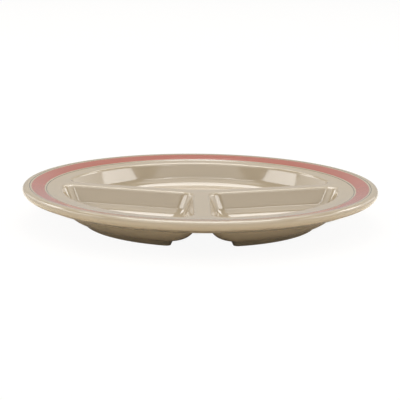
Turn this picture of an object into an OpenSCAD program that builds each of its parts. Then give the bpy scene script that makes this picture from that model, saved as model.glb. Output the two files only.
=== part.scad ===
// Divided compartment plate.
// One moulded shell holds three wells that hang below its rim, each on its own foot ring.
// A printed foil is pressed flush into the rim: a broad colour band between two pinstripes.
// The plate stands on z = 0 with its centre over the origin, and the front divider runs along -Y.

/* [Plate] */
// Diameter over the lip
plate_d = 254; // [235:1:280]
// Thickness of the rim
rim_t = 3.6; // [2.8:0.1:4.4]
// Thickness of the wells' floors
wall_t = 3.8; // [3:0.1:4.6]

/* [Rim] */
// Distance from the lip in to the foot of the sloping rim
rim_w = 18.2; // [17.8:0.1:20]
// Slope of the rim in degrees where it meets its crest
rim_slope = 8.5; // [5:0.5:11]
// Radius of the gentle bow of the rim's face, which makes it steeper at its foot
rim_bow_r = 115; // [90:1:180]
// Radius of the rounded crest of the rim
crest_r = 8; // [6:0.5:10]
// Radius of the nose at the widest point of the lip
nose_r = 2.3; // [1.5:0.1:2.8]
// Radius of the lip's face below the nose
lip_face_r = 5.7; // [5:0.1:7]
// Width of the lip's sloping underside
lip_under_w = 7.9; // [6.5:0.1:8.5]
// Slope of the lip's underside in degrees
lip_under_slope = 22; // [17:0.5:24]
// Radius of the lip's lower edge
lip_edge_r = 1; // [0.8:0.1:1.4]

/* [Wells] */
// Distance from the lip in to the outer edge of the wells
well_margin = 28.3; // [27:0.1:34]
// Depth of the wells below the shoulder
well_depth = 16.6; // [14:0.1:18]
// Lean of the well walls from upright in degrees
wall_draft = 23; // [15:1:28]
// Radius between wall and floor inside the wells
floor_r = 11; // [7:0.5:12]
// Radius of the wells' undersides, which is the larger one where their walls thicken upwards
under_r = 16.5; // [13:0.5:18]
// Radius of the rounded top edges of the wells
edge_r = 2.5; // [1.5:0.1:3]
// Radius of the large well's wide corner at the middle of the plate
bend_corner_r = 75; // [40:1:90]
// Radius of the large well's two outer corners
rear_corner_r = 12; // [8:0.5:20]
// Radius of the small wells' corners at the middle of the plate
inner_corner_r = 12; // [8:0.5:18]
// Radius of the small wells' corners at the ends of the rear dividers
outer_corner_r = 6; // [4:0.5:12]
// Radius of the small wells' corners at the end of the front divider
front_corner_r = 11; // [8:0.5:18]
// Radius of every corner where it reaches the floor
floor_corner_r = 8; // [5:0.5:10]

/* [Dividers] */
// Width of the level tops of the dividers
divider_w = 8; // [6:0.1:12]
// Angle by which the two rear dividers lean back
divider_lean = 17; // [8:1:24]
// Distance from the plate's centre forward to the point where the dividers meet
divider_offset = 15; // [5:0.5:20]

/* [Foot rings] */
// Height of the foot rings below the wells
foot_h = 3.6; // [2.6:0.1:4.6]
// Width of the foot rings on the table
foot_w = 2.5; // [1.5:0.1:4]
// Spread of a foot ring's sides from the table up to the well
foot_flare = 2.2; // [1.5:0.1:3.4]
// Radius of the foot rings' corners
foot_corner_r = 3; // [2:0.5:6]

/* [Printed foil] */
// Thickness of the foil
foil_t = 0.4; // [0.3:0.05:0.8]
// Depth of the print in the foil
print_t = 0.2; // [0.1:0.05:0.25]
// Distance from the lip in to the middle of the outer pinstripe
outer_stripe_in = 5.1; // [4.8:0.1:6]
// Distance from the lip in to the middle of the inner pinstripe
inner_stripe_in = 17.1; // [16:0.1:17.4]
// Width of each pinstripe
stripe_w = 0.6; // [0.4:0.1:0.8]
// Bare gap between a pinstripe and the colour band
stripe_gap = 1.1; // [0.7:0.1:2]
// Bare edge of the foil beyond each pinstripe
foil_edge = 0.3; // [0.2:0.05:0.4]

/* [Hidden] */
$fn = 180;

// Colours of the moulding, the foil and the two inks
body_color = "tan";
foil_color = "wheat";
band_color = "indianred";
stripe_color = "darkolivegreen";

// Overrun of every cut, and depth that joined solids share
overrun = wall_t / 4;

// Heights above the table: the wells' undersides, their floors, and the shoulder with the dividers' tops
under_h = foot_h;
floor_h = under_h + wall_t;
shoulder_h = floor_h + well_depth;
web_h = shoulder_h - rim_t;

// The rim in section
lip_rad = plate_d / 2;
rim_in_rad = lip_rad - rim_w;
nose_start = 15;
face_start = 110;
face_end = 180 - lip_under_slope;
recess_turn = 250;
crest_rad = lip_rad - crest_r * sin(nose_start) - nose_r * (1 - sin(nose_start));
crest_start_rad = crest_rad - crest_r * sin(rim_slope);
bow_rad = crest_start_rad + rim_bow_r * sin(rim_slope);
bow_h = shoulder_h - sqrt(rim_bow_r * rim_bow_r - (bow_rad - rim_in_rad) * (bow_rad - rim_in_rad));
crest_start_h = bow_h + rim_bow_r * cos(rim_slope);
crest_h = crest_start_h + crest_r * (1 - cos(rim_slope));
under_rise = (crest_start_h - shoulder_h) / (crest_start_rad - rim_in_rad);
arc_steps = 8;
band_steps = 4;

// The wells in section, as distances in from the sharp line where wall and shoulder would meet
well_rad = lip_rad - well_margin;
wall_turn = 90 - wall_draft;
edge_tangent = edge_r * tan(wall_turn / 2);
fillet_inset = (well_depth - floor_r) * tan(wall_draft) + floor_r / cos(wall_draft);
edge_steps = 3;
fillet_steps = 5;
corner_steps = 6;
rear_arc_steps = 18;
front_arc_steps = 11;

// The dividers in plan
divider_half = divider_w / 2 + edge_tangent;
junction_reach = divider_offset * cos(divider_lean);

// The foot rings in section: they leave the curve of the underside at this angle
foot_turn = asin(foot_flare / 2 / under_r);
foot_inset = fillet_inset + foot_flare / 2;

// Edges of the printed rings, from the inside out
outer_stripe_rad = lip_rad - outer_stripe_in;
inner_stripe_rad = lip_rad - inner_stripe_in;
foil_rads = [
    inner_stripe_rad - stripe_w / 2 - foil_edge,
    inner_stripe_rad - stripe_w / 2,
    inner_stripe_rad + stripe_w / 2,
    inner_stripe_rad + stripe_w / 2 + stripe_gap,
    outer_stripe_rad - stripe_w / 2 - stripe_gap,
    outer_stripe_rad - stripe_w / 2,
    outer_stripe_rad + stripe_w / 2,
    outer_stripe_rad + stripe_w / 2 + foil_edge
];
FOIL_IN = 0;
INNER_STRIPE = 1;
BAND = 3;
OUTER_STRIPE = 5;
FOIL_OUT = 7;

// Each well is [side 1, side 2, corner radii, steps of its outer arc].
// A side is [angle of its outward normal, distance of the side from the plate's centre along it].
// The corners are between the two sides, then side 2 and the arc, then the arc and side 1.
rear_well = [
    [270 - divider_lean, junction_reach - divider_half],
    [270 + divider_lean, junction_reach - divider_half],
    [bend_corner_r, rear_corner_r, rear_corner_r],
    rear_arc_steps
];
left_well = [
    [0, -divider_half],
    [90 - divider_lean, -junction_reach - divider_half],
    [inner_corner_r, outer_corner_r, front_corner_r],
    front_arc_steps
];

// A unit vector at an angle, and the same vector turned a quarter turn to the left
function dir(a) = [cos(a), sin(a)];
function left_of(a) = [-sin(a), cos(a)];

// The angle of a point, no smaller than a given one
function angle_from(p, low) =
    let (a = atan2(p[1], p[0]))
    a < low ? a + 360 : a;

// Points along an arc, both ends included
function arc(c, r, a0, a1, steps) =
    [for (i = [0:steps]) c + r * dir(a0 + (a1 - a0) * i / steps)];

// Radius of a corner at some distance in from the edge: it closes evenly until it reaches the floor,
// and the foot rings, further in, have their own
function corner_at(top_r, inset) =
    let (low_r = max(floor_corner_r, top_r - fillet_inset))
    inset > fillet_inset ? foot_corner_r : top_r + (low_r - top_r) * inset / fillet_inset;

// Centre of a corner between two straight sides, at distance q inside both
function side_corner(s1, s2, q) =
    let (n1 = dir(s1[0]), n2 = dir(s2[0]), u = s1[1] - q, v = s2[1] - q, k = n1[0] * n2[1] - n1[1] * n2[0])
    [(u * n2[1] - v * n1[1]) / k, (v * n1[0] - u * n2[0]) / k];

// Centre of a corner between a straight side and the outer arc, towards one end of the side
function arc_corner(s, q, end) =
    let (u = s[1] - q, v = well_rad - q)
    u * dir(s[0]) + end * sqrt(v * v - u * u) * left_of(s[0]);

// Outline of a well at some distance in from its edge, counterclockwise
function outline(well, inset) =
    let (
        s1 = well[0],
        s2 = well[1],
        r = [for (top_r = well[2]) corner_at(top_r, inset)],
        mid = side_corner(s1, s2, inset + r[0]),
        far = arc_corner(s2, inset + r[1], 1),
        near = arc_corner(s1, inset + r[2], -1),
        a2 = s2[0] < s1[0] ? s2[0] + 360 : s2[0],
        a_far = angle_from(far, a2),
        a_near = angle_from(near, a_far),
        rim_arc = arc([0, 0], well_rad - inset, a_far, a_near, well[3])
    )
    concat(
        arc(mid, r[0], s1[0], a2, corner_steps),
        arc(far, r[1], a2, a_far, corner_steps),
        [for (i = [1:well[3] - 1]) rim_arc[i]],
        arc(near, r[2], a_near, s1[0] + 360, corner_steps)
    );

// The well's hollow in section, from its floor up past the shoulder
function hollow_levels() =
    let (
        fillet = [for (i = [0:fillet_steps]) let (a = wall_turn * i / fillet_steps)
            [fillet_inset - floor_r * sin(a), floor_h + floor_r * (1 - cos(a))]],
        edge = [for (i = [edge_steps:-1:0]) let (a = wall_turn * i / edge_steps)
            [edge_r * sin(a) - edge_tangent, shoulder_h - edge_r * (1 - cos(a))]],
        lip = edge[edge_steps],
        run = lip - edge[edge_steps - 1]
    )
    concat(fillet, [for (i = [0:edge_steps - 1]) edge[i]], [lip + run * overrun / run[1]]);

// The outside of the well in section, from the table up the foot ring's outer side into the rim
function shell_levels() =
    let (
        bowl = [for (i = [0:fillet_steps]) let (a = foot_turn + (wall_turn - foot_turn) * i / fillet_steps)
            [fillet_inset - under_r * sin(a), under_h + under_r * (1 - cos(a))]],
        last = bowl[fillet_steps],
        top_h = web_h + overrun
    )
    concat([[foot_inset, 0]], bowl, [[last[0] - (top_h - last[1]) * tan(wall_draft), top_h]]);

// The recess inside a foot ring in section, from below the table up to the well's underside
function recess_levels() =
    let (table_inset = foot_inset + foot_w, spread = foot_flare / under_h)
    [[table_inset - overrun * spread, -overrun], [table_inset + under_h * spread, under_h]];

// A closed solid through neighbouring outlines
module loft(well, levels) {
    rings = [for (l = levels) [for (p = outline(well, l[0])) [p[0], p[1], l[1]]]];
    n = len(rings[0]);
    m = len(rings);
    skin = [
        for (j = [0:m - 2])
        for (i = [0:n - 1])
        let (a = j * n + i, b = j * n + (i + 1) % n)
        each [[a, a + n, b], [b, a + n, b + n]]
    ];
    caps = [[for (i = [0:n - 1]) i], [for (i = [n - 1:-1:0]) (m - 1) * n + i]];
    polyhedron([for (ring = rings) each ring], concat(skin, caps), convexity = 10);
}

// The three wells: one behind, and one that is mirrored, in front
module each_well(levels) {
    loft(rear_well, levels);
    for (side = [0, 1]) mirror([side, 0, 0]) loft(left_well, levels);
}

// Height of the rim's upper face at a radius between its foot and its crest
function rim_h(r) =
    r < crest_start_rad
    ? bow_h + sqrt(rim_bow_r * rim_bow_r - (bow_rad - r) * (bow_rad - r))
    : crest_h - crest_r + sqrt(crest_r * crest_r - (r - crest_rad) * (r - crest_rad));

// Radii from one printed edge to another, with some more across the broad band
function face_rads(first, last) = [
    for (i = [first:last - 1])
    let (steps = i == BAND ? band_steps : 1)
    for (k = [0:steps - 1])
    foil_rads[i] + (foil_rads[i + 1] - foil_rads[i]) * k / steps,
    foil_rads[last]
];

// Points of the rim's upper face from one printed edge to another, some depth below the face
function face_points(first, last, depth) =
    [for (r = face_rads(first, last)) [r, rim_h(r) - depth]];

// A ring let into the rim's face between two printed edges, down to a depth
module face_ring(first, last, depth) {
    top = face_points(first, last, 0);
    floor_line = face_points(first, last, depth);
    rotate_extrude() polygon(concat(top, [for (i = [len(floor_line) - 1:-1:0]) floor_line[i]]));
}

// Arc of the lip, turning from one heading to the next, down from level
function lip_arc(start, r, h0, h1) =
    [for (i = [1:arc_steps]) let (h = h0 + (h1 - h0) * i / arc_steps)
        start + r * [sin(h) - sin(h0), cos(h) - cos(h0)]];

// Section of the shell without its wells, on the right of the axis
module shell_section() {
    foil_out = foil_rads[FOIL_OUT];
    start_rad = max(foil_out, crest_start_rad);
    start = [start_rad, rim_h(start_rad)];
    crest = lip_arc(start, crest_r, asin((start_rad - crest_rad) / crest_r), nose_start);
    nose = lip_arc(crest[arc_steps - 1], nose_r, nose_start, face_start);
    face = lip_arc(nose[arc_steps - 1], lip_face_r, face_start, face_end);
    lip_under = face[arc_steps - 1] - lip_under_w * [1, tan(lip_under_slope)];
    lip_edge = lip_arc(lip_under, lip_edge_r, face_end, recess_turn);
    edge_in = lip_edge[arc_steps - 1];
    rise = web_h + (edge_in[0] - rim_in_rad) * under_rise - edge_in[1];
    recess_run = rise / (under_rise + tan(recess_turn));
    polygon(concat(
        [[0, web_h], [0, shoulder_h], [rim_in_rad, shoulder_h]],
        [[foil_rads[FOIL_IN], rim_h(foil_rads[FOIL_IN])]],
        face_points(FOIL_IN, FOIL_OUT, foil_t),
        [[foil_out, rim_h(foil_out)]],
        start_rad > foil_out ? [start] : [],
        crest, nose, face,
        [lip_under], lip_edge,
        [edge_in + recess_run * [-1, tan(recess_turn)]],
        [[rim_in_rad, web_h]]
    ));
}

module plate_body() {
    color(body_color)
    difference() {
        union() {
            rotate_extrude() shell_section();
            each_well(shell_levels());
        }
        each_well(hollow_levels());
        each_well(recess_levels());
    }
}

module rim_foil() {
    color(foil_color)
    difference() {
        face_ring(FOIL_IN, FOIL_OUT, foil_t);
        for (first = [INNER_STRIPE, BAND, OUTER_STRIPE]) face_cut(first);
    }
}

// The foil's seat for a printed ring, cut down from above the face
module face_cut(first) {
    top_h = crest_h + overrun;
    rotate_extrude() polygon(concat(
        face_points(first, first + 1, print_t),
        [[foil_rads[first + 1], top_h], [foil_rads[first], top_h]]
    ));
}

module color_band() {
    color(band_color) face_ring(BAND, BAND + 1, print_t);
}

module outer_pinstripe() {
    color(stripe_color) face_ring(OUTER_STRIPE, OUTER_STRIPE + 1, print_t);
}

module inner_pinstripe() {
    color(stripe_color) face_ring(INNER_STRIPE, INNER_STRIPE + 1, print_t);
}

plate_body();
rim_foil();
color_band();
outer_pinstripe();
inner_pinstripe();
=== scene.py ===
import math
import bmesh
import bpy
from mathutils import Matrix, Vector
from mathutils.geometry import delaunay_2d_cdt


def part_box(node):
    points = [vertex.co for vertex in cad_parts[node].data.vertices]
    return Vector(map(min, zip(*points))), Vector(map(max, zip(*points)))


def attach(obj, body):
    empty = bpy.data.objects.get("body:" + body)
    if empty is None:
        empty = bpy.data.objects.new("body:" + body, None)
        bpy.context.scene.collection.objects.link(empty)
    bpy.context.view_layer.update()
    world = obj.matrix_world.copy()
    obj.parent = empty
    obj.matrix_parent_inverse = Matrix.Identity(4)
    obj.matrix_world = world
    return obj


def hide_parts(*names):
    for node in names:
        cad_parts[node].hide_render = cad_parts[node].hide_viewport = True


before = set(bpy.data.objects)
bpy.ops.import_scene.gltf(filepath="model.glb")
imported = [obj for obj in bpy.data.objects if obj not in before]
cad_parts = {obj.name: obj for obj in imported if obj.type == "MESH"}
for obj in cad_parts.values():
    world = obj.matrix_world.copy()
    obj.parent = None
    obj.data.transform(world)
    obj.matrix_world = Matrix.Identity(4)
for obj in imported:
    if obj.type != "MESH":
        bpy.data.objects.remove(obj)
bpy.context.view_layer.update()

# Lengths below are in millimetres, and meshes are made in metres
MM = 0.001

# The plate's sizes, as its solids have them
LIP_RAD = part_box("plate_body")[1][0] / MM
RIM_T = 3.6
WALL_T = 3.8
RIM_W = 18.2
RIM_SLOPE = math.radians(8.5)
RIM_BOW_R = 115
CREST_R = 8
NOSE_R = 2.3
LIP_FACE_R = 5.7
LIP_UNDER_W = 7.9
LIP_UNDER_SLOPE = 22
LIP_EDGE_R = 1
WELL_MARGIN = 28.3
WELL_DEPTH = 16.6
WALL_DRAFT = math.radians(23)
FLOOR_R = 11
UNDER_R = 16.5
EDGE_R = 2.5
BEND_CORNER_R = 75
REAR_CORNER_R = 12
INNER_CORNER_R = 12
OUTER_CORNER_R = 6
FRONT_CORNER_R = 11
FLOOR_CORNER_R = 8
DIVIDER_W = 8
DIVIDER_LEAN = 17
DIVIDER_OFFSET = 15
FOOT_H = 3.6
FOOT_W = 2.5
FOOT_FLARE = 2.2
FOOT_CORNER_R = 3
FOIL_T = 0.4
PRINT_T = 0.2
OUTER_STRIPE_IN = 5.1
INNER_STRIPE_IN = 17.1
STRIPE_W = 0.6
STRIPE_GAP = 1.1
FOIL_EDGE = 0.3

# How finely round shapes are drawn
RIM_SEGMENTS = 384
CORNER_STEPS = 16
REAR_ARC_STEPS = 110
FRONT_ARC_STEPS = 60
PROFILE_STEPS = 16
# Faces that meet at more than this are shaded with a sharp edge
SHARP_ANGLE = math.radians(40)

# Sizes worked out from those above
UNDER_H = FOOT_H
FLOOR_H = UNDER_H + WALL_T
SHOULDER_H = FLOOR_H + WELL_DEPTH
WEB_H = SHOULDER_H - RIM_T
WELL_RAD = LIP_RAD - WELL_MARGIN
RIM_IN_RAD = LIP_RAD - RIM_W
NOSE_START = math.radians(15)
FACE_START = math.radians(110)
FACE_END = math.radians(180 - LIP_UNDER_SLOPE)
RECESS_TURN = math.radians(250)
CREST_RAD = LIP_RAD - CREST_R * math.sin(NOSE_START) - NOSE_R * (1 - math.sin(NOSE_START))
CREST_START_RAD = CREST_RAD - CREST_R * math.sin(RIM_SLOPE)
BOW_RAD = CREST_START_RAD + RIM_BOW_R * math.sin(RIM_SLOPE)
BOW_H = SHOULDER_H - math.sqrt(RIM_BOW_R ** 2 - (BOW_RAD - RIM_IN_RAD) ** 2)
CREST_START_H = BOW_H + RIM_BOW_R * math.cos(RIM_SLOPE)
CREST_H = CREST_START_H + CREST_R * (1 - math.cos(RIM_SLOPE))
UNDER_RISE = (CREST_START_H - SHOULDER_H) / (CREST_START_RAD - RIM_IN_RAD)
WALL_TURN = math.pi / 2 - WALL_DRAFT
EDGE_TANGENT = EDGE_R * math.tan(WALL_TURN / 2)
FILLET_INSET = (WELL_DEPTH - FLOOR_R) * math.tan(WALL_DRAFT) + FLOOR_R / math.cos(WALL_DRAFT)
DIVIDER_HALF = DIVIDER_W / 2 + EDGE_TANGENT
JUNCTION_REACH = DIVIDER_OFFSET * math.cos(math.radians(DIVIDER_LEAN))
FOOT_TURN = math.asin(FOOT_FLARE / 2 / UNDER_R)
FOOT_INSET = FILLET_INSET + FOOT_FLARE / 2
OUTER_STRIPE_RAD = LIP_RAD - OUTER_STRIPE_IN
INNER_STRIPE_RAD = LIP_RAD - INNER_STRIPE_IN
FOIL_RADS = [
    INNER_STRIPE_RAD - STRIPE_W / 2 - FOIL_EDGE,
    INNER_STRIPE_RAD - STRIPE_W / 2,
    INNER_STRIPE_RAD + STRIPE_W / 2,
    INNER_STRIPE_RAD + STRIPE_W / 2 + STRIPE_GAP,
    OUTER_STRIPE_RAD - STRIPE_W / 2 - STRIPE_GAP,
    OUTER_STRIPE_RAD - STRIPE_W / 2,
    OUTER_STRIPE_RAD + STRIPE_W / 2,
    OUTER_STRIPE_RAD + STRIPE_W / 2 + FOIL_EDGE,
]


# Each well is [side 1, side 2, corner radii, steps of its outer arc, mirrored or not].
# A side is [angle of its outward normal, distance of the side from the plate's centre along it].
REAR_WELL = (
    (270 - DIVIDER_LEAN, JUNCTION_REACH - DIVIDER_HALF),
    (270 + DIVIDER_LEAN, JUNCTION_REACH - DIVIDER_HALF),
    (BEND_CORNER_R, REAR_CORNER_R, REAR_CORNER_R),
    REAR_ARC_STEPS,
    False,
)
LEFT_WELL = (
    (0, -DIVIDER_HALF),
    (90 - DIVIDER_LEAN, -JUNCTION_REACH - DIVIDER_HALF),
    (INNER_CORNER_R, OUTER_CORNER_R, FRONT_CORNER_R),
    FRONT_ARC_STEPS,
    False,
)
RIGHT_WELL = LEFT_WELL[:4] + (True,)
WELLS = (REAR_WELL, LEFT_WELL, RIGHT_WELL)


def unit(degrees):
    a = math.radians(degrees)
    return Vector((math.cos(a), math.sin(a)))


def angle_from(p, low):
    """Direction of a point in degrees, at or above a lowest value."""
    a = math.degrees(math.atan2(p.y, p.x))
    return a + 360 if a < low else a


def arc(centre, r, a0, a1, count):
    return [centre + r * unit(a0 + (a1 - a0) * i / count) for i in range(count + 1)]


def corner_at(top_r, inset):
    """Radius of a corner at some distance in from the well's edge."""
    if inset > FILLET_INSET:
        return FOOT_CORNER_R
    low_r = max(FLOOR_CORNER_R, top_r - FILLET_INSET)
    return top_r + (low_r - top_r) * inset / FILLET_INSET


def side_corner(s1, s2, q):
    """The point that lies at distance q inside both straight sides."""
    n1, n2 = unit(s1[0]), unit(s2[0])
    u, v = s1[1] - q, s2[1] - q
    k = n1.x * n2.y - n1.y * n2.x
    return Vector(((u * n2.y - v * n1.y) / k, (v * n1.x - u * n2.x) / k))


def arc_corner(s, q, end):
    """The point at distance q inside a side and the well's outer arc, at one end of that side."""
    u, v = s[1] - q, WELL_RAD - q
    n = unit(s[0])
    return u * n + end * math.sqrt(v * v - u * u) * Vector((-n.y, n.x))


def outline(well, inset):
    """The well's outline in plan at some distance in from its edge."""
    s1, s2, top_radii, arc_steps, mirrored = well
    r = [corner_at(top_r, inset) for top_r in top_radii]
    mid = side_corner(s1, s2, inset + r[0])
    far = arc_corner(s2, inset + r[1], 1)
    near = arc_corner(s1, inset + r[2], -1)
    a2 = s2[0] + 360 if s2[0] < s1[0] else s2[0]
    a_far = angle_from(far, a2)
    a_near = angle_from(near, a_far)
    points = arc(mid, r[0], s1[0], a2, CORNER_STEPS)
    points += arc(far, r[1], a2, a_far, CORNER_STEPS)
    points += arc(Vector((0, 0)), WELL_RAD - inset, a_far, a_near, arc_steps)[1:-1]
    points += arc(near, r[2], a_near, s1[0] + 360, CORNER_STEPS)
    return [Vector((-p.x, p.y)) for p in points] if mirrored else points


def steps(n):
    return [i / n for i in range(n + 1)]


def hollow_levels():
    """The well's hollow in section: its inset and height from the shoulder down to the floor."""
    levels = []
    for t in steps(PROFILE_STEPS // 2):
        a = WALL_TURN * t
        levels.append((EDGE_R * math.sin(a) - EDGE_TANGENT,
                       SHOULDER_H - EDGE_R * (1 - math.cos(a))))
    for t in steps(PROFILE_STEPS):
        a = WALL_TURN * (1 - t)
        levels.append((FILLET_INSET - FLOOR_R * math.sin(a),
                       FLOOR_H + FLOOR_R * (1 - math.cos(a))))
    return levels


def shell_levels():
    """The well's outside in section, from the rim down to the table and into the foot ring's recess."""
    bowl = []
    for t in steps(PROFILE_STEPS):
        a = WALL_TURN + (FOOT_TURN - WALL_TURN) * t
        bowl.append((FILLET_INSET - UNDER_R * math.sin(a),
                     UNDER_H + UNDER_R * (1 - math.cos(a))))
    top = (bowl[0][0] - (WEB_H - bowl[0][1]) * math.tan(WALL_DRAFT), WEB_H)
    inner = FOOT_INSET + FOOT_W
    foot = [(FOOT_INSET, 0), (inner, 0), (inner + FOOT_FLARE, UNDER_H)]
    return [top] + bowl + foot


def rim_h(r):
    """Height of the rim's upper face between its foot and its crest."""
    if r < CREST_START_RAD:
        return BOW_H + math.sqrt(RIM_BOW_R ** 2 - (BOW_RAD - r) ** 2)
    return CREST_H - CREST_R + math.sqrt(CREST_R ** 2 - (r - CREST_RAD) ** 2)


def heading_arc(start, r, h0, h1):
    """Arc of the lip that turns from one heading to the next, down from level."""
    points = []
    for t in steps(PROFILE_STEPS)[1:]:
        h = h0 + (h1 - h0) * t
        points.append((start[0] + r * (math.sin(h) - math.sin(h0)),
                       start[1] + r * (math.cos(h) - math.cos(h0))))
    return points


def rim_section():
    """The rim in section, from the shoulder over the crest and lip to the underside."""
    first, last = FOIL_RADS[0], FOIL_RADS[-1]
    start = max(last, CREST_START_RAD)
    crest_turn = math.asin((start - CREST_RAD) / CREST_R)
    crest = heading_arc((start, rim_h(start)), CREST_R, crest_turn, NOSE_START)
    nose = heading_arc(crest[-1], NOSE_R, NOSE_START, FACE_START)
    face = heading_arc(nose[-1], LIP_FACE_R, FACE_START, FACE_END)
    under_drop = LIP_UNDER_W * math.tan(math.radians(LIP_UNDER_SLOPE))
    under = (face[-1][0] - LIP_UNDER_W, face[-1][1] - under_drop)
    edge = heading_arc(under, LIP_EDGE_R, FACE_END, RECESS_TURN)
    rise = WEB_H + (edge[-1][0] - RIM_IN_RAD) * UNDER_RISE - edge[-1][1]
    run = rise / (UNDER_RISE + math.tan(RECESS_TURN))
    corner = (edge[-1][0] - run, edge[-1][1] + run * math.tan(RECESS_TURN))
    seat = [(r, rim_h(r) - FOIL_T) for r in ring_radii(first, last)]
    top = [(RIM_IN_RAD, SHOULDER_H), (first, rim_h(first))]
    seat_edge = [(r, rim_h(r)) for r in sorted({last, start})]
    return (top + seat + seat_edge + crest + nose + face
            + [under] + edge + [corner, (RIM_IN_RAD, WEB_H)])


def ring_radii(first, last):
    """Radii at which a ring between two edges is drawn."""
    bends = [FOIL_RADS[3] + (FOIL_RADS[4] - FOIL_RADS[3]) * t for t in steps(PROFILE_STEPS)]
    return sorted({first, last, *[r for r in FOIL_RADS + bends if first < r < last]})


class Mesh:
    """A mesh under construction, in millimetres."""

    def __init__(self):
        self.points, self.faces = [], []

    def ring(self, points, z):
        start = len(self.points)
        self.points += [(p[0], p[1], z) for p in points]
        return list(range(start, len(self.points)))

    def circle(self, r, z):
        turn = 2 * math.pi / RIM_SEGMENTS
        points = [(r * math.cos(i * turn), r * math.sin(i * turn)) for i in range(RIM_SEGMENTS)]
        return self.ring(points, z)

    def bridge(self, a, b):
        n = len(a)
        self.faces += [(a[i], a[(i + 1) % n], b[(i + 1) % n], b[i]) for i in range(n)]

    def fill(self, loops):
        """Fills the level face between an outer loop and the rounded loops inside it."""
        ids = [i for loop in loops for i in loop]
        owner = [k for k, loop in enumerate(loops) for _ in loop]
        flat = [Vector(self.points[i][:2]) for i in ids]
        edges, start = [], 0
        for loop in loops:
            n = len(loop)
            edges += [(start + i, start + (i + 1) % n) for i in range(n)]
            start += n
        for face in delaunay_2d_cdt(flat, edges, [], 1, 1e-6)[2]:
            owners = {owner[i] for i in face}
            if len(owners) > 1 or owners == {0}:
                self.faces.append(tuple(ids[i] for i in face))

    def build(self, name, material):
        mesh = bpy.data.meshes.new(name)
        mesh.from_pydata([Vector(p) * MM for p in self.points], [], self.faces)
        bm = bmesh.new()
        bm.from_mesh(mesh)
        bmesh.ops.recalc_face_normals(bm, faces=bm.faces)
        bm.to_mesh(mesh)
        bm.free()
        mesh.polygons.foreach_set("use_smooth", [True] * len(mesh.polygons))
        mesh.set_sharp_from_angle(angle=SHARP_ANGLE)
        mesh.materials.append(material)
        obj = bpy.data.objects.new(name, mesh)
        bpy.context.collection.objects.link(obj)
        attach(obj, "root")
        return obj


def make_body(material):
    body = Mesh()
    section = rim_section()
    circles = [body.circle(r, z) for r, z in section]
    for a, b in zip(circles, circles[1:]):
        body.bridge(a, b)
    tops, bottoms = [], []
    for well in WELLS:
        for levels, ends in ((hollow_levels(), tops), (shell_levels(), bottoms)):
            rings = [body.ring(outline(well, inset), z) for inset, z in levels]
            for a, b in zip(rings, rings[1:]):
                body.bridge(a, b)
            body.fill([rings[-1]])
            ends.append(rings[0])
    body.fill([circles[0]] + tops)
    body.fill([circles[-1]] + bottoms)
    obj = body.build("plate_shell", material)
    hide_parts("plate_body")
    return obj


def make_ring(name, node, first, last, depth, material):
    """A printed ring let into the rim between two of its edges."""
    ring = Mesh()
    radii = ring_radii(FOIL_RADS[first], FOIL_RADS[last])
    section = [(r, rim_h(r)) for r in radii] + [(r, rim_h(r) - depth) for r in reversed(radii)]
    circles = [ring.circle(r, z) for r, z in section]
    for a, b in zip(circles, circles[1:] + circles[:1]):
        ring.bridge(a, b)
    obj = ring.build(name, material)
    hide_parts(node)
    return obj


def make_foil(material):
    """The foil: its face shows beside the prints, and it passes beneath them."""
    foil = Mesh()
    section = []
    printed = ((1, 2), (3, 4), (5, 6))
    for first, last in ((0, 1), (1, 2), (2, 3), (3, 4), (4, 5), (5, 6), (6, 7)):
        drop = PRINT_T if (first, last) in printed else 0
        section += [(r, rim_h(r) - drop) for r in ring_radii(FOIL_RADS[first], FOIL_RADS[last])]
    section += [(r, rim_h(r) - FOIL_T) for r in reversed(ring_radii(FOIL_RADS[0], FOIL_RADS[-1]))]
    circles = [foil.circle(r, z) for r, z in section]
    for a, b in zip(circles, circles[1:] + circles[:1]):
        foil.bridge(a, b)
    obj = foil.build("rim_overlay", material)
    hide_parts("rim_foil")
    return obj


# The skin of the melamine: noise scales are in waves per metre
SKIN_IOR = 1.8
CLOUD_SCALE = 45
CLOUD_DETAIL = 5
RUB_SCALE = 160
RUB_DETAIL = 3
RUB_RANGE = 0.2
RIPPLE_SCALE = 70
RIPPLE_STRENGTH = 0.04
RIPPLE_HEIGHT = 0.5 * MM


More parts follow.
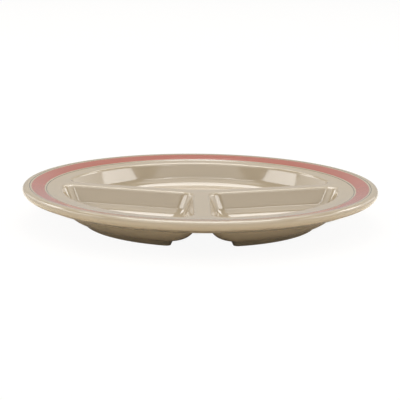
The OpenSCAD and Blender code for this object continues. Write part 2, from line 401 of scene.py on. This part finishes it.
def melamine(name, color, roughness, mottle):
    """Glazed melamine: a smooth glossy skin, with a faint cloudiness and the slightest ripple."""
    mat = bpy.data.materials.new(name)
    mat.use_nodes = True
    nodes, links = mat.node_tree.nodes, mat.node_tree.links
    shader = nodes["Principled BSDF"]
    shader.inputs["IOR"].default_value = SKIN_IOR
    place = nodes.new("ShaderNodeTexCoord")

    cloud = nodes.new("ShaderNodeTexNoise")
    cloud.inputs["Scale"].default_value = CLOUD_SCALE
    cloud.inputs["Detail"].default_value = CLOUD_DETAIL
    tint = nodes.new("ShaderNodeMix")
    tint.data_type = "RGBA"
    tint.inputs["A"].default_value = (*[c * (1 - mottle) for c in color], 1)
    tint.inputs["B"].default_value = (*[min(1, c * (1 + mottle)) for c in color], 1)
    links.new(place.outputs["Object"], cloud.inputs["Vector"])
    links.new(cloud.outputs["Fac"], tint.inputs["Factor"])
    links.new(tint.outputs["Result"], shader.inputs["Base Color"])

    rub = nodes.new("ShaderNodeTexNoise")
    rub.inputs["Scale"].default_value = RUB_SCALE
    rub.inputs["Detail"].default_value = RUB_DETAIL
    gloss = nodes.new("ShaderNodeMapRange")
    gloss.inputs["To Min"].default_value = roughness * (1 - RUB_RANGE)
    gloss.inputs["To Max"].default_value = roughness * (1 + RUB_RANGE)
    links.new(place.outputs["Object"], rub.inputs["Vector"])
    links.new(rub.outputs["Fac"], gloss.inputs["Value"])
    links.new(gloss.outputs["Result"], shader.inputs["Roughness"])

    ripple = nodes.new("ShaderNodeTexNoise")
    ripple.inputs["Scale"].default_value = RIPPLE_SCALE
    bump = nodes.new("ShaderNodeBump")
    bump.inputs["Strength"].default_value = RIPPLE_STRENGTH
    bump.inputs["Distance"].default_value = RIPPLE_HEIGHT
    links.new(place.outputs["Object"], ripple.inputs["Vector"])
    links.new(ripple.outputs["Fac"], bump.inputs["Height"])
    links.new(bump.outputs["Normal"], shader.inputs["Normal"])
    return mat


def linear(r, g, b):
    """A colour given as it looks on a screen, from 0 to 255."""
    return tuple(((c / 255 + 0.055) / 1.055) ** 2.4 for c in (r, g, b))


TAN = linear(168, 153, 129)
tan = melamine("glazed_tan", TAN, 0.08, 0.02)
foil_tan = melamine("foil_tan", TAN, 0.08, 0.02)
terracotta = melamine("terracotta_print", linear(160, 95, 80), 0.12, 0.04)
ink = melamine("grey_green_ink", linear(112, 104, 84), 0.18, 0.03)

make_body(tan)
make_foil(foil_tan)
make_ring("band_print", "color_band", 3, 4, PRINT_T, terracotta)
make_ring("outer_line", "outer_pinstripe", 5, 6, PRINT_T, ink)
make_ring("inner_line", "inner_pinstripe", 1, 2, PRINT_T, ink)

# Camera: the photograph's distance, height and slight roll, with the plate turned a little to the left
CAM_DISTANCE = 1.18
CAM_ELEVATION = math.radians(11.2)
CAM_AZIMUTH = math.radians(1.2)
CAM_ROLL = math.radians(0.717)
CAM_LENS = 148.09
CAM_SHIFT_X = -0.001
CAM_SHIFT_Y = -0.0365
CAM_SENSOR = 36
CAM_NEAR = 0.05
CAM_TARGET = Vector((0, 0, 25.8 * MM))

back = Vector((
    -math.sin(CAM_AZIMUTH) * math.cos(CAM_ELEVATION),
    -math.cos(CAM_AZIMUTH) * math.cos(CAM_ELEVATION),
    math.sin(CAM_ELEVATION),
))
cam_data = bpy.data.cameras.new("camera")
cam_data.lens = CAM_LENS
cam_data.sensor_width = CAM_SENSOR
cam_data.shift_x = CAM_SHIFT_X
cam_data.shift_y = CAM_SHIFT_Y
cam_data.clip_start = CAM_NEAR
cam = bpy.data.objects.new("camera", cam_data)
bpy.context.collection.objects.link(cam)
cam.matrix_world = (
    Matrix.Translation(CAM_TARGET + back * CAM_DISTANCE)
    @ (-back).to_track_quat("-Z", "Y").to_matrix().to_4x4()
    @ Matrix.Rotation(CAM_ROLL, 4, "Z")
)
bpy.context.scene.camera = cam


# The floor is white for the camera and in reflections. Its true face, a warm cream, shows a little, and
# so does the plate's shadow. Beneath and near the plate the plate mirrors more of that face: the white
# sets in from SHADE_IN to SHADE_OUT, measured in metres from the plate's middle.
FLOOR_HALF = 6
FLOOR_COLOR = (0.93, 0.86, 0.74, 1)
FLOOR_ROUGHNESS = 0.9
FLOOR_GLOW = 0.93
SHADE_IN = 0.125
SHADE_OUT = 0.3


def make_floor():
    mesh = bpy.data.meshes.new("floor")
    h = FLOOR_HALF
    mesh.from_pydata([(-h, -h, 0), (h, -h, 0), (h, h, 0), (-h, h, 0)], [], [(0, 1, 2, 3)])
    mat = bpy.data.materials.new("floor")
    mat.use_nodes = True
    nodes, links = mat.node_tree.nodes, mat.node_tree.links

    def math_node(operation, a, b):
        node = nodes.new("ShaderNodeMath")
        node.operation = operation
        for slot, value in zip(node.inputs, (a, b)):
            if isinstance(value, (int, float)):
                slot.default_value = value
            else:
                links.new(value, slot)
        return node.outputs[0]

    shader = nodes["Principled BSDF"]
    shader.inputs["Base Color"].default_value = FLOOR_COLOR
    shader.inputs["Roughness"].default_value = FLOOR_ROUGHNESS
    shader.inputs["Specular IOR Level"].default_value = 0
    glow = nodes.new("ShaderNodeEmission")
    glow.inputs["Strength"].default_value = 1
    place = nodes.new("ShaderNodeTexCoord")
    away = nodes.new("ShaderNodeVectorMath")
    away.operation = "LENGTH"
    links.new(place.outputs["Object"], away.inputs[0])
    open_floor = nodes.new("ShaderNodeMapRange")
    open_floor.inputs["From Min"].default_value = SHADE_IN
    open_floor.inputs["From Max"].default_value = SHADE_OUT
    links.new(away.outputs["Value"], open_floor.inputs["Value"])
    rays = nodes.new("ShaderNodeLightPath")
    mirrored = math_node("MULTIPLY", rays.outputs["Is Glossy Ray"], open_floor.outputs["Result"])
    seen = math_node("MAXIMUM", rays.outputs["Is Camera Ray"], mirrored)
    seen = math_node("MAXIMUM", seen, rays.outputs["Is Transmission Ray"])
    mix = nodes.new("ShaderNodeMixShader")
    links.new(math_node("MULTIPLY", seen, FLOOR_GLOW), mix.inputs["Fac"])
    links.new(shader.outputs[0], mix.inputs[1])
    links.new(glow.outputs[0], mix.inputs[2])
    links.new(mix.outputs[0], nodes["Material Output"].inputs["Surface"])
    mesh.materials.append(mat)
    obj = bpy.data.objects.new("floor", mesh)
    bpy.context.collection.objects.link(obj)


make_floor()


def softbox(name, place, target, width, depth, glow, tilt=0, shape="RECTANGLE"):
    """An evenly bright panel that faces its target. Its brightness is the one that a mirror shows."""
    data = bpy.data.lights.new(name, "AREA")
    data.shape = shape
    data.size = width
    data.size_y = depth
    area = width * depth * (math.pi / 4 if shape == "ELLIPSE" else 1)
    data.energy = glow * math.pi * area
    obj = bpy.data.objects.new(name, data)
    bpy.context.collection.objects.link(obj)
    way = Vector(target) - Vector(place)
    obj.matrix_world = (Matrix.Translation(place) @ way.to_track_quat("-Z", "Y").to_matrix().to_4x4()
                        @ Matrix.Rotation(tilt, 4, "Z"))


# A bright round panel hangs over and behind the plate with a bar behind it, and a dimmer one over the
# front. A row of bars and panels runs round the front from side to side, highest at its middle, with the
# dim wall of a room beneath it. Panels and dim walls at the back end the row.
# Places, targets and sizes are in metres.
softbox("behind", (0, 0.5, 1.2), (0, 0.5, 0), 0.92, 0.9, 4.3, shape="ELLIPSE")
softbox("far_bar", (0, 1.45, 1.2), (0, 1.45, 0), 1.1, 0.2, 7)
softbox("ceiling", (0, -0.33, 1.2), (0, -0.33, 0), 1.7, 0.8, 1.3)
softbox("front", (0, -1.0, 1.2), (0, -1.0, 0), 1.6, 0.2, 3.8)
softbox("room", (0, -2, 1.5), (0, 0, 1.5), 5.2, 1.1, 0.9)
MIDDLE = (0, 0, 0)
CORNER_TILT = math.radians(15)
SIDE_TILT = math.radians(12)
for side, end in ((-1, "left"), (1, "right")):
    softbox("corner_" + end, (side * 1.18, -1.08, 1.62), MIDDLE, 0.9, 0.16, 4, -side * CORNER_TILT)
    softbox("side_" + end, (side * 1.59, -0.2, 0.8), MIDDLE, 1.16, 0.5, 3.5, -side * SIDE_TILT,
            shape="ELLIPSE")
    softbox("rear_" + end, (side * 1.31, 0.92, 1.04), MIDDLE, 0.85, 0.47, 4)
    softbox("wall_" + end, (side * 1.6, 1.15, 0.6), MIDDLE, 1.7, 0.7, 1)

# The surroundings are pale along the horizon and dim overhead. The first two values are the heights that
# directions of length 1 reach. The others are the strengths up to the first height and from the second.
FADE_FROM = 0.3
FADE_TO = 0.65
PALE = 0.5
DIM = 0.22


def make_world():
    world = bpy.data.worlds.new("studio")
    world.use_nodes = True
    bpy.context.scene.world = world
    nodes, links = world.node_tree.nodes, world.node_tree.links
    way = nodes.new("ShaderNodeTexCoord")
    parts = nodes.new("ShaderNodeSeparateXYZ")
    fade = nodes.new("ShaderNodeMapRange")
    fade.inputs["From Min"].default_value = FADE_FROM
    fade.inputs["From Max"].default_value = FADE_TO
    fade.inputs["To Min"].default_value = PALE
    fade.inputs["To Max"].default_value = DIM
    links.new(way.outputs["Generated"], parts.inputs[0])
    links.new(parts.outputs["Z"], fade.inputs["Value"])
    links.new(fade.outputs["Result"], nodes["Background"].inputs["Strength"])
    nodes["Background"].inputs["Color"].default_value = (1, 1, 1, 1)


make_world()

bpy.context.scene.view_settings.view_transform = "Standard"
